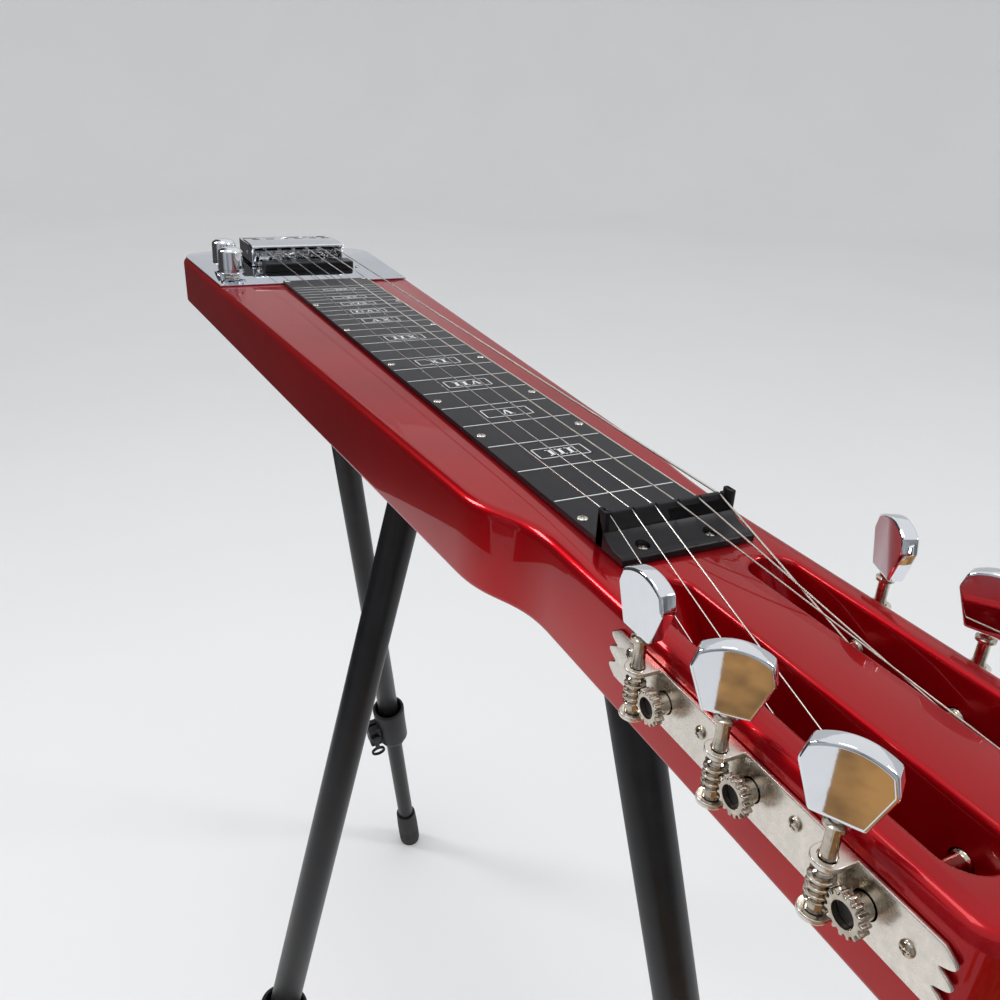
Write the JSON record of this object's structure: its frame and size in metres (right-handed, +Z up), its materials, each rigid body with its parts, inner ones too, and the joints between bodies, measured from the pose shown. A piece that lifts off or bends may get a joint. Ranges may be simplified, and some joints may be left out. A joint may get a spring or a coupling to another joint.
{
  "type": "lap steel guitar",
  "caption": "Lap steel guitar: a tapered solid body with fretboard panel, slotted head with worm-gear tuners, bridge, pickup and knobs, standing on telescoping legs with clamp collars.",
  "frame": {"origin": "centre of the bounding box's bottom face, on the floor that the feet stand on", "axes": "+X from the tail to the head, +Y across the body towards the player's far side (the outer legs lean that way), +Z up from the floor to the playing face"},
  "size_m": [0.792, 0.314, 0.7807],
  "materials": {
    "lacquer_body": "gloss",
    "fretboard_panel": "matte",
    "moulded_black": "satin",
    "chrome_plate": "polished",
    "chrome_trim": "polished",
    "button_chrome": "polished",
    "nickel_plate": "satin",
    "pickup_case": "gloss",
    "string_wire": "drawn",
    "socket_metal": "satin",
    "leg_tube": "satin",
    "foot_rubber": "matte"
  },
  "bodies": {
    "guitar": {"body": "lacquer_body", "fretboard": "fretboard_panel", "nut": "moulded_black", "control_plate": "chrome_plate", "bridge_base": "chrome_trim", "bridge_cover": "chrome_trim", "saddle_1": "chrome_trim", "saddle_2": "chrome_trim", "saddle_3": "chrome_trim", "saddle_4": "chrome_trim", "saddle_5": "chrome_trim", "saddle_6": "chrome_trim", "pickup": "pickup_case", "volume_pot": "nickel_plate", "tone_pot": "nickel_plate", "output_jack": "chrome_trim", "tuner_plate_near": "nickel_plate", "tuner_plate_far": "nickel_plate", "string_1": "string_wire", "string_2": "string_wire", "string_3": "string_wire", "string_4": "string_wire", "string_5": "string_wire", "string_6": "string_wire", "leg_socket_tail": "socket_metal", "leg_upper_tail": "leg_tube", "leg_collar_tail": "moulded_black", "leg_socket_middle": "socket_metal", "leg_upper_middle": "leg_tube", "leg_collar_middle": "moulded_black", "leg_socket_head": "socket_metal", "leg_upper_head": "leg_tube", "leg_collar_head": "moulded_black"},
    "volume_knob": {"volume_knob": "chrome_trim"},
    "tone_knob": {"tone_knob": "chrome_trim"},
    "tuner_button_1": {"tuner_button_1": "button_chrome"},
    "string_post_1": {"string_post_1": "nickel_plate"},
    "tuner_button_2": {"tuner_button_2": "button_chrome"},
    "string_post_2": {"string_post_2": "nickel_plate"},
    "tuner_button_3": {"tuner_button_3": "button_chrome"},
    "string_post_3": {"string_post_3": "nickel_plate"},
    "tuner_button_4": {"tuner_button_4": "button_chrome"},
    "string_post_4": {"string_post_4": "nickel_plate"},
    "tuner_button_5": {"tuner_button_5": "button_chrome"},
    "string_post_5": {"string_post_5": "nickel_plate"},
    "tuner_button_6": {"tuner_button_6": "button_chrome"},
    "string_post_6": {"string_post_6": "nickel_plate"},
    "lower_leg_tail": {"leg_lower_tail": "leg_tube", "leg_foot_tail": "foot_rubber"},
    "clamp_lever_tail": {"leg_lever_tail": "moulded_black"},
    "lower_leg_middle": {"leg_lower_middle": "leg_tube", "leg_foot_middle": "foot_rubber"},
    "clamp_lever_middle": {"leg_lever_middle": "moulded_black"},
    "lower_leg_head": {"leg_lower_head": "leg_tube", "leg_foot_head": "foot_rubber"},
    "clamp_lever_head": {"leg_lever_head": "moulded_black"}
  },
  "joints": [
    {"name": "volume_knob_turn", "type": "hinge", "parent": "guitar", "child": "volume_knob", "pos_m": [-0.269, -0.03639, 0.7545], "axis": [0, 0, 1], "range_deg": [-150, 150]},
    {"name": "tone_knob_turn", "type": "hinge", "parent": "guitar", "child": "tone_knob", "pos_m": [-0.311, -0.03469, 0.7545], "axis": [0, 0, 1], "range_deg": [-150, 150]},
    {"name": "tuner_button_1_turn", "type": "hinge", "parent": "guitar", "child": "tuner_button_1", "pos_m": [0.2839, -0.01739, 0.7379], "axis": [0, 0, 1], "continuous": true},
    {"name": "string_post_1_turn", "type": "hinge", "parent": "guitar", "child": "string_post_1", "pos_m": [0.292, -0.01739, 0.7379], "axis": [0, 1, 0], "continuous": true},
    {"name": "tuner_button_2_turn", "type": "hinge", "parent": "guitar", "child": "tuner_button_2", "pos_m": [0.3214, -0.01739, 0.7379], "axis": [0, 0, 1], "continuous": true},
    {"name": "string_post_2_turn", "type": "hinge", "parent": "guitar", "child": "string_post_2", "pos_m": [0.3295, -0.01739, 0.7379], "axis": [0, 1, 0], "continuous": true},
    {"name": "tuner_button_3_turn", "type": "hinge", "parent": "guitar", "child": "tuner_button_3", "pos_m": [0.3589, -0.01739, 0.7379], "axis": [0, 0, 1], "continuous": true},
    {"name": "string_post_3_turn", "type": "hinge", "parent": "guitar", "child": "string_post_3", "pos_m": [0.367, -0.01739, 0.7379], "axis": [0, 1, 0], "continuous": true},
    {"name": "tuner_button_4_turn", "type": "hinge", "parent": "guitar", "child": "tuner_button_4", "pos_m": [0.3589, 0.07761, 0.7379], "axis": [0, 0, 1], "continuous": true},
    {"name": "string_post_4_turn", "type": "hinge", "parent": "guitar", "child": "string_post_4", "pos_m": [0.367, 0.07761, 0.7379], "axis": [0, 1, 0], "continuous": true},
    {"name": "tuner_button_5_turn", "type": "hinge", "parent": "guitar", "child": "tuner_button_5", "pos_m": [0.3214, 0.07761, 0.7379], "axis": [0, 0, 1], "continuous": true},
    {"name": "string_post_5_turn", "type": "hinge", "parent": "guitar", "child": "string_post_5", "pos_m": [0.3295, 0.07761, 0.7379], "axis": [0, 1, 0], "continuous": true},
    {"name": "tuner_button_6_turn", "type": "hinge", "parent": "guitar", "child": "tuner_button_6", "pos_m": [0.2839, 0.07761, 0.7379], "axis": [0, 0, 1], "continuous": true},
    {"name": "string_post_6_turn", "type": "hinge", "parent": "guitar", "child": "string_post_6", "pos_m": [0.292, 0.07761, 0.7379], "axis": [0, 1, 0], "continuous": true},
    {"name": "leg_tail_length", "type": "slide", "parent": "guitar", "child": "lower_leg_tail", "axis": [-0.172, 0.1604, -0.972], "range_m": [-0.145, 0.18]},
    {"name": "clamp_tail_turn", "type": "hinge", "parent": "guitar", "child": "clamp_lever_tail", "pos_m": [-0.32063, 0.0864, 0.22383], "axis": [-0.985, -0.014, 0.172], "range_deg": [0, 110]},
    {"name": "leg_middle_length", "type": "slide", "parent": "guitar", "child": "lower_leg_middle", "axis": [0, -0.2351, -0.972], "range_m": [-0.145, 0.18]},
    {"name": "clamp_middle_turn", "type": "hinge", "parent": "guitar", "child": "clamp_lever_middle", "pos_m": [-0.007, -0.07003, 0.22222], "axis": [1, 0, 0], "range_deg": [0, 110]},
    {"name": "leg_head_length", "type": "slide", "parent": "guitar", "child": "lower_leg_head", "axis": [0.172, 0.1604, -0.972], "range_m": [-0.145, 0.18]},
    {"name": "clamp_head_turn", "type": "hinge", "parent": "guitar", "child": "clamp_lever_head", "pos_m": [0.29413, 0.0864, 0.22383], "axis": [-0.985, 0.014, -0.172], "range_deg": [0, 110]}
  ],
  "couplings": [
    {"joint": "string_post_1_turn", "follows": "tuner_button_1_turn", "ratio": -0.066667},
    {"joint": "string_post_2_turn", "follows": "tuner_button_2_turn", "ratio": -0.066667},
    {"joint": "string_post_3_turn", "follows": "tuner_button_3_turn", "ratio": -0.066667},
    {"joint": "string_post_4_turn", "follows": "tuner_button_4_turn", "ratio": -0.066667},
    {"joint": "string_post_5_turn", "follows": "tuner_button_5_turn", "ratio": -0.066667},
    {"joint": "string_post_6_turn", "follows": "tuner_button_6_turn", "ratio": -0.066667}
  ]
}
